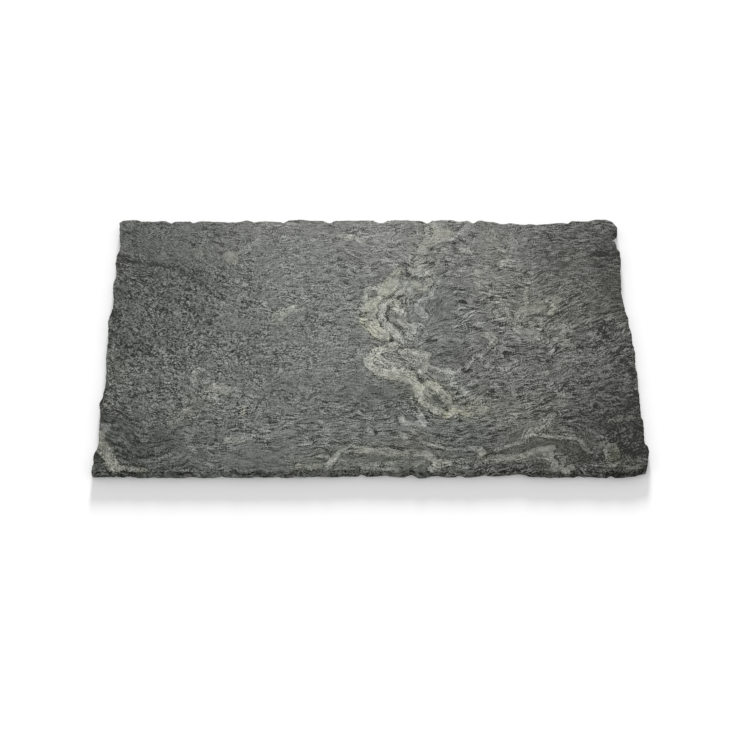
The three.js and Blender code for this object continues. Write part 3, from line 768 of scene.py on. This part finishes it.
def roughen(piece, name, kind, size, depth):
    """Pushes the surface in and out by a noise of this size and depth."""
    noise = bpy.data.textures.new(name, kind)
    noise.noise_scale = size
    if kind == "VORONOI":
        noise.distance_metric = "DISTANCE"
        noise.weight_1, noise.weight_2 = -1, 1  # sharp edges between the lumps
    apply(piece, "DISPLACE", texture=noise, texture_coords="LOCAL", strength=depth, mid_level=0.5)


def run_past(walls, rise):
    """Draws the upper or lower open rim of the walls straight on by this much up or down, and closes
    it with a face."""
    mesh = walls.data
    count = np.zeros(len(mesh.edges), int)
    np.add.at(count, read(mesh.loops, "edge_index", kind=np.int32), 1)
    middle = read(mesh.vertices, "co", 3)[:, 2][read(mesh.edges, "vertices", 2, np.int32)].mean(axis=1)
    upper = middle > THICKNESS / 2
    select_only(walls, edges=(count == 1) & (upper if rise > 0 else ~upper))
    edit(walls, "EDGE")
    bpy.ops.mesh.extrude_region_move(TRANSFORM_OT_translate={"value": (0, 0, rise)})
    bpy.ops.mesh.edge_face_add()
    leave_edit()


def sawn_block(settings):
    """A sawn block of the slab's thickness, larger than the slab, with fine cells on its top."""
    margin = 2 * OVERSHOOT
    coarse = settings.cell * settings.underside_cells
    middle = (SLAB_LOW + SLAB_HIGH) / 2
    bpy.ops.object.select_all(action="DESELECT")
    bpy.ops.mesh.primitive_grid_add(
        x_subdivisions=round((LENGTH + 2 * margin) / coarse),
        y_subdivisions=round((DEPTH + 2 * margin) / coarse),
        size=1,
        location=(middle.x, middle.y, SLAB_LOW.z),
    )
    block = bpy.context.object
    block.name = block.data.name = "granite_slab"
    block.scale = (LENGTH + 2 * margin, DEPTH + 2 * margin, 1)
    bpy.ops.object.transform_apply(location=True, rotation=True, scale=True)
    edit(block)
    bpy.ops.mesh.select_all(action="SELECT")
    bpy.ops.mesh.extrude_region_move(TRANSFORM_OT_translate={"value": (0, 0, THICKNESS)})
    bpy.ops.mesh.subdivide(number_cuts=settings.underside_cells - 1)
    bpy.ops.mesh.select_all(action="SELECT")
    bpy.ops.mesh.normals_make_consistent(inside=False)
    leave_edit()
    return block


def mark(piece):
    """Writes the markings of the stone on the mesh, as one attribute each. The lightness among them
    also holds painted shade along the front split edge.
    """
    mesh = piece.data
    places = read(mesh.vertices, "co", 3) / MM
    at = places[:, :2].copy()
    at[:, 1] += DIP * (places[:, 2] - THICKNESS / MM)
    distance, vein, about_vein = bands(at, VEINS)
    _, mica, about_mica = bands(at, MICA + [(BLOTCH_DARKNESS, [place]) for place in BLOTCHES])
    marks = {
        "layers": layers(at),
        "vein_distance": distance,
        "vein": vein,
        "paleness": about_vein[:, 0],
        "yellow": about_vein[:, 1],
        "mica": mica,
        "darkness": about_mica[:, 0],
        # the lightness carries painted shade along the front split edge as well as the stone's own tone
        "lightness": LIGHTNESS + clouds(at, LIGHTNESS_AND_SHADE_CLOUDS),
        "calm": np.clip(clouds(at, CALM_CLOUDS), LEAST_CALM, 1),
        "order": np.clip(ORDER + clouds(at, ORDER_CLOUDS), 0, 1),
        "olive": np.clip(clouds(at, OLIVE_CLOUDS), 0, 1),
        "warm": np.clip(clouds(at, WARM_CLOUDS), 0, 1),
    }
    for name, values in marks.items():
        attribute = mesh.attributes.new(name, "FLOAT", "POINT")
        attribute.data.foreach_set("value", values.astype(np.float32))


class GRANITE_OT_slab(bpy.types.Operator):
    """Model the slab: a sawn block trimmed by rough split walls, with its markings and finishes"""

    bl_idname = "granite.slab"
    bl_label = "Granite slab"
    bl_options = {"REGISTER", "UNDO"}

    def execute(self, context):
        settings = context.scene.granite_stone
        walls = split_walls(settings)
        slab = sawn_block(settings)
        apply(slab, "BOOLEAN", object=walls, operation="INTERSECT", solver="EXACT")
        bpy.data.objects.remove(walls)
        if not slab.data.polygons:
            raise RuntimeError("the split walls don't cross the sawn block")
        work_on(slab)
        bpy.ops.object.shade_smooth_by_angle(angle=math.radians(40))
        mark(slab)
        finish_faces(slab, settings)
        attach(slab, "root")
        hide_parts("slab")
        return {"FINISHED"}


# --- Finishes ---

ALBEDO_GAIN = 0.85  # share of the light that stone of full lightness gives back
SHEEN = 0.02  # part of that share that comes from the surface and not from the colour
EYE_CURVE = 2.2  # power that turns lightness as the eye sees it into a share of the light
DARKEST, PALEST = 0.2, 0.8  # limits of the lightness
EVEN_TINT = 0.42  # lightness at which the tints are as set: darker grains are stronger in colour
LEAST_TINT = 0.75  # strength of the tints in the palest grains


class Shader:
    """Adds nodes to a tree. An input is a number, a colour, a vector or another node's output."""

    def __init__(self, tree):
        self.tree = tree

    def add(self, kind, settings=None, **inputs):
        node = self.tree.nodes.new("ShaderNode" + kind)
        for name, value in (settings or {}).items():
            setattr(node, name, value)
        for name, value in inputs.items():
            self.feed(node.inputs[name.replace("_", " ")], value)
        return node

    def feed(self, socket, value):
        if isinstance(value, bpy.types.NodeSocket):
            self.tree.links.new(value, socket)
        else:
            socket.default_value = value

    def number(self, name):
        """One of the slab's markings."""
        return self.add("Attribute", {"attribute_name": name}).outputs["Fac"]

    def math(self, operation, *values, clamp=False):
        node = self.add("Math", {"operation": operation, "use_clamp": clamp})
        for socket, value in zip(node.inputs, values):
            self.feed(socket, value)
        return node.outputs[0]

    def vector(self, operation, *values):
        node = self.add("VectorMath", {"operation": operation})
        sockets = [s for s in node.inputs if s.enabled]
        for socket, value in zip(sockets, values):
            self.feed(socket, value)
        return node.outputs[0]

    def scale(self, value, factor):
        """A vector or a colour times a factor."""
        scaled = self.vector("SCALE", value)
        self.feed(scaled.node.inputs["Scale"], factor)
        return scaled

    def sum(self, first, *others):
        for other in others:
            first = self.math("ADD", first, other)
        return first

    def product(self, first, *others):
        for other in others:
            first = self.math("MULTIPLY", first, other)
        return first

    def weigh(self, total, *terms):
        """The total plus each value times its weight."""
        for value, weight in terms:
            total = self.math("MULTIPLY_ADD", value, weight, total)
        return total

    def spread(self, value, low, high, start=0.0, end=1.0):
        """start below low, end above high, and a smooth step between them."""
        node = self.add(
            "MapRange", {"interpolation_type": "SMOOTHSTEP"},
            Value=value, From_Min=low, From_Max=high, To_Min=start, To_Max=end,
        )
        return node.outputs["Result"]

    def noise(self, at, size, detail=1.0, roughness=0.5, stack=None, colour=False):
        """Smooth noise from 0 to 1 with lumps of this size, in the unit of at."""
        node = self.add(
            "TexNoise", {"noise_dimensions": "3D" if stack is None else "4D"},
            Vector=at, Scale=1 / size, Detail=detail, Roughness=roughness,
        )
        if stack is not None:
            self.feed(node.inputs["W"], stack)
        return node.outputs["Color" if colour else "Fac"]

    def centred(self, noise):
        """Noise about zero."""
        return self.math("SUBTRACT", noise, 0.5)

    def wobble(self, at, size, reach, detail=1.0):
        """Noise about zero, up to about half the reach either way."""
        return self.product(self.centred(self.noise(at, size, detail)), reach)

    def stir(self, at, size, reach):
        """Places moved about by up to about half the reach, in swirls of this size."""
        swirl = self.vector("SUBTRACT", self.noise(at, size, colour=True), (0.5, 0.5, 0.5))
        return self.vector("MULTIPLY_ADD", swirl, reach, at)

    def mix(self, share, first, second, kind="FLOAT"):
        node = self.add("Mix", {"data_type": kind, "clamp_factor": False})
        sockets = [s for s in node.inputs if s.enabled]
        for socket, value in zip(sockets, (share, first, second)):
            self.feed(socket, value)
        return next(s for s in node.outputs if s.enabled)


def stone_pattern(settings):
    """Node group with the colour of the stone, and the height of its grain from 0 to 1."""
    tree = bpy.data.node_groups.new("Banded granite", "ShaderNodeTree")
    tree.interface.new_socket("Colour", in_out="OUTPUT", socket_type="NodeSocketColor")
    tree.interface.new_socket("Grain", in_out="OUTPUT", socket_type="NodeSocketFloat")
    s = Shader(tree)
    place = s.scale(s.add("TexCoord").outputs["Object"], 1 / MM)

    # The layers, bent, and crumpled at two scales.
    bent = s.stir(place, size=46, reach=(14, 14, 6))
    stack = s.sum(s.number("layers"), s.wobble(place, 60, reach=44), s.wobble(place, 21, reach=9))

    # Streaks of grain that follow the layers, and near a long vein follow the vein.
    distance = s.sum(s.number("vein_distance"), s.wobble(place, 24, reach=9))
    along_vein = s.spread(s.number("vein_distance"), 8, 28, 0.35)
    order = s.number("order")

    def streaks(length, width, detail=0.0):
        """Noise drawn out along the layers."""
        drawn = s.scale(bent, 1 / length)
        by_layer = s.noise(drawn, 1, detail, 0.6, stack=s.product(stack, 1 / width))
        by_vein = s.noise(drawn, 1, detail, 0.6, stack=s.product(distance, 1 / width))
        return s.mix(along_vein, by_vein, by_layer)

    crystals = s.noise(place, 2.9, detail=0.0)
    crumpled = s.stir(place, size=13, reach=(16, 16, 6))
    squiggles = s.noise(crumpled, 4.5, detail=0.0)
    fibres = s.mix(order, squiggles, streaks(length=17, width=3.1))
    strands = s.product(s.centred(streaks(length=45, width=7)), order)
    grain = s.weigh(-0.8, (crystals, 0.62), (fibres, 0.98), (strands, 0.23))
    calm = s.math("MULTIPLY_ADD", s.number("calm"), -0.75, 1)
    patchy = s.spread(s.noise(bent, 34), 0.35, 0.65, 0.7, 1.3)
    strength = s.product(calm, patchy)

    # Lens-shaped patches, up to about a hand's breadth long, and black flecks.
    lenses = s.product(s.centred(streaks(length=100, width=22, detail=1.0)), calm)
    flecks = s.mix(order, s.noise(crumpled, 7), streaks(length=24, width=3.2))
    flecks = s.spread(s.weigh(flecks, (lenses, -0.3)), 0.58, 0.74)
    flecks = s.product(flecks, strength)

    # Pale quartz in patches along the veins, a dark rim beside it here and there, and dark mica, all
    # with frayed borders.
    frayed = s.wobble(place, 9, reach=5.5, detail=2.0)
    inside = s.weigh(s.number("vein"), (frayed, 1), (grain, 6))
    rim = s.math("SUBTRACT", s.spread(inside, -8, -4), s.spread(inside, -4, -0.5))
    rim = s.product(rim, s.spread(s.noise(bent, 26), 0.4, 0.6), s.number("paleness"))
    patches = s.spread(s.noise(bent, 12, detail=2.5), 0.3, 0.62, 0.45, 1.15)
    vein = s.product(s.spread(inside, -4, 2), patches, s.number("paleness"))
    mica = s.spread(s.weigh(s.number("mica"), (frayed, 1), (grain, -8)), -3, 2)
    mica = s.product(mica, s.number("darkness"))

    # The grain, whose dark side is the stronger, is a little weaker in the quartz.
    strength = s.product(strength, s.math("MULTIPLY_ADD", vein, -0.1, 1))
    relief = s.math("EXPONENT", s.product(grain, strength, -2))
    relief = s.weigh(0.5, (relief, -0.5))

    # All of it together, as lightness and then as a share of the light.
    light = s.weigh(
        s.number("lightness"), (relief, settings.contrast), (lenses, 0.06), (flecks, -0.1),
        (vein, 0.18), (rim, -0.11), (mica, -0.18),
    )
    light = s.math("MINIMUM", s.math("MAXIMUM", light, DARKEST), PALEST)
    level = s.math("MULTIPLY_ADD", s.math("POWER", light, EYE_CURVE), ALBEDO_GAIN, -SHEEN)

    # The tint: the ground, its olive patches and the yellow quartz, stronger in darker grains.
    white = (1, 1, 1, 1)
    olive = s.math("ADD", s.number("olive"), s.wobble(bent, 50, reach=0.9), clamp=True)
    olive = s.mix(olive, white, (*settings.olive, 1), kind="RGBA")
    ground = s.mix(s.number("warm"), (*settings.ground, 1), (*settings.warm, 1), kind="RGBA")
    ground = s.vector("MULTIPLY", ground, olive)
    stained = s.product(s.number("paleness"), s.spread(s.number("vein"), -10, 2))
    blotchy = s.spread(s.noise(bent, 22), 0.4, 0.6, 0.6, 1.3)
    yellow = s.product(stained, s.number("yellow"), blotchy)
    tint = s.mix(yellow, ground, (*settings.quartz, 1), kind="RGBA")
    strong = s.math("POWER", s.math("DIVIDE", EVEN_TINT, light), 2)
    tint = s.mix(s.math("MAXIMUM", strong, LEAST_TINT), white, tint, kind="RGBA")

    out = tree.nodes.new("NodeGroupOutput")
    s.feed(out.inputs["Colour"], s.scale(tint, level))
    s.feed(out.inputs["Grain"], s.sum(grain, 0.5))
    return tree


def finish(name, pattern, shade, roughness, bump, depth, extra=None):
    """One finish of the stone: its pattern in a darker or lighter shade, with a roughness and a bump
    of this strength and depth. The extra function adds to the pattern's colour and height."""
    material = bpy.data.materials.new(name)
    material.use_nodes = True
    tree = material.node_tree
    s = Shader(tree)
    shader = tree.nodes["Principled BSDF"]
    stone = s.add("Group", {"node_tree": pattern})
    colour = stone.outputs["Colour"]
    height = stone.outputs["Grain"]
    if extra:
        colour, height = extra(s, colour, height)
    s.feed(shader.inputs["Base Color"], s.scale(colour, shade))
    shader.inputs["Roughness"].default_value = roughness
    shader.inputs["Specular IOR Level"].default_value = 0.2
    relief = s.add("Bump", Strength=bump, Distance=depth, Height=height)
    s.feed(shader.inputs["Normal"], relief.outputs["Normal"])
    return material


def broken(s, colour, height):
    """Freshly split stone: lumpy, with painted light and shade on its lumps. The colour is lighter on
    the high lumps, as where the edges of crystals catch the light, and darker in the low ones.
    """
    place = s.add("TexCoord").outputs["Object"]
    lumps = s.noise(place, 5 * MM, detail=3.0, roughness=0.65)
    # painted light and shade: the colour follows the same lumps that raise the bump
    painted_lump_light = s.scale(colour, s.spread(lumps, 0.3, 0.75, 0.6, 1.25))
    return painted_lump_light, s.sum(s.product(height, 0.5), lumps)


def sawn(s, colour, height):
    """Sawn stone: dusty, with the shallow straight marks of a gang saw along its length."""
    place = s.add("TexCoord").outputs["Object"]
    waves = s.add(
        "TexWave", {"bands_direction": "Y"},
        Vector=place, Scale=60, Distortion=1.2, Detail=2.0, Detail_Scale=0.8,
    )
    dust = (0.2, 0.2, 0.19, 1)
    dusty = s.mix(0.25, colour, dust, kind="RGBA")
    return dusty, s.sum(s.product(height, 0.3), s.product(waves.outputs["Fac"], 0.4))


def finish_faces(slab, settings):
    """Gives the top, the split edges and the underside of the slab their finishes."""
    stone = stone_pattern(settings)
    finishes = (
        finish("honed_granite", stone, shade=1.0, roughness=settings.roughness, bump=0.25,
               depth=0.3 * MM),
        finish("split_granite", stone, shade=1.1, roughness=0.8, bump=0.8, depth=1.2 * MM,
               extra=broken),
        finish("sawn_granite", stone, shade=0.95, roughness=0.75, bump=0.4, depth=0.4 * MM,
               extra=sawn),
    )
    for material in finishes:
        slab.data.materials.append(material)
    honed, split, underneath = range(3)
    kind = np.full(len(slab.data.polygons), split, np.int32)
    kind[faces_facing(slab, 1)] = honed
    kind[faces_facing(slab, -1)] = underneath
    slab.data.polygons.foreach_set("material_index", kind)
    slab.data.update()


# --- Stage ---


def lay_floor(settings):
    bpy.ops.object.select_all(action="DESELECT")
    bpy.ops.mesh.primitive_plane_add(size=settings.floor_width, location=(0, 0, SLAB_LOW.z))
    floor = bpy.context.object
    floor.name = "floor"
    bpy.ops.object.transform_apply(location=True, rotation=True, scale=True)
    material = bpy.data.materials.new("white_floor")
    material.use_nodes = True
    shader = material.node_tree.nodes["Principled BSDF"]
    shader.inputs["Base Color"].default_value = (*settings.floor_colour, 1)
    shader.inputs["Roughness"].default_value = 0.9
    shader.inputs["Specular IOR Level"].default_value = 0.1
    floor.data.materials.append(material)


def light_stage(settings):
    """Even white light from all round, and a low soft key light behind the slab."""
    world = bpy.data.worlds.new("white_sky")
    world.use_nodes = True
    sky = world.node_tree.nodes["Background"]
    sky.inputs["Color"].default_value = (1, 1, 1, 1)
    sky.inputs["Strength"].default_value = settings.sky
    bpy.context.scene.world = world
    data = bpy.data.lights.new("key", "SUN")
    data.energy = settings.sun
    data.angle = settings.sun_width
    key = bpy.data.objects.new("key", data)
    bpy.context.scene.collection.objects.link(key)
    towards = Vector((0, -math.cos(settings.sun_height), -math.sin(settings.sun_height)))
    key.rotation_euler = towards.to_track_quat("-Z", "Y").to_euler()
    key.location = -2 * towards  # out of the way: a sun shines the same from anywhere


def place_camera(settings):
    data = bpy.data.cameras.new("camera")
    data.lens = settings.lens
    camera = bpy.data.objects.new("camera", data)
    bpy.context.scene.collection.objects.link(camera)
    middle = (SLAB_LOW + SLAB_HIGH) / 2
    back = Vector((0, -math.cos(settings.elevation), math.sin(settings.elevation)))
    camera.location = middle + Vector(settings.aim) + back * settings.distance
    camera.rotation_euler = (-back).to_track_quat("-Z", "Y").to_euler()
    bpy.context.scene.camera = camera


class GRANITE_OT_stage(bpy.types.Operator):
    """Set up the floor, the light and the camera"""

    bl_idname = "granite.stage"
    bl_label = "Stage"
    bl_options = {"REGISTER", "UNDO"}

    def execute(self, context):
        settings = context.scene.granite_stage
        lay_floor(settings)
        light_stage(settings)
        place_camera(settings)
        context.scene.view_settings.view_transform = "Standard"
        return {"FINISHED"}


class GRANITE_PT_panel(bpy.types.Panel):
    """Lists the steps and their settings"""

    bl_idname = "GRANITE_PT_panel"
    bl_label = "Granite countertop sample"
    bl_space_type = "VIEW_3D"
    bl_region_type = "UI"
    bl_category = "Granite"

    def draw(self, context):
        for operator, settings in (
            ("granite.slab", context.scene.granite_stone),
            ("granite.stage", context.scene.granite_stage),
        ):
            box = self.layout.box()
            box.operator(operator)
            for name in settings.__annotations__:
                box.prop(settings, name)


CLASSES = (StoneSettings, StageSettings, GRANITE_OT_slab, GRANITE_OT_stage, GRANITE_PT_panel)


def register():
    for cls in CLASSES:
        bpy.utils.register_class(cls)
    bpy.types.Scene.granite_stone = PointerProperty(type=StoneSettings)
    bpy.types.Scene.granite_stage = PointerProperty(type=StageSettings)


def unregister():
    del bpy.types.Scene.granite_stage
    del bpy.types.Scene.granite_stone
    for cls in reversed(CLASSES):
        bpy.utils.unregister_class(cls)


def main():
    register()
    bpy.ops.granite.slab()
    bpy.ops.granite.stage()


if __name__ == "__main__":
    main()
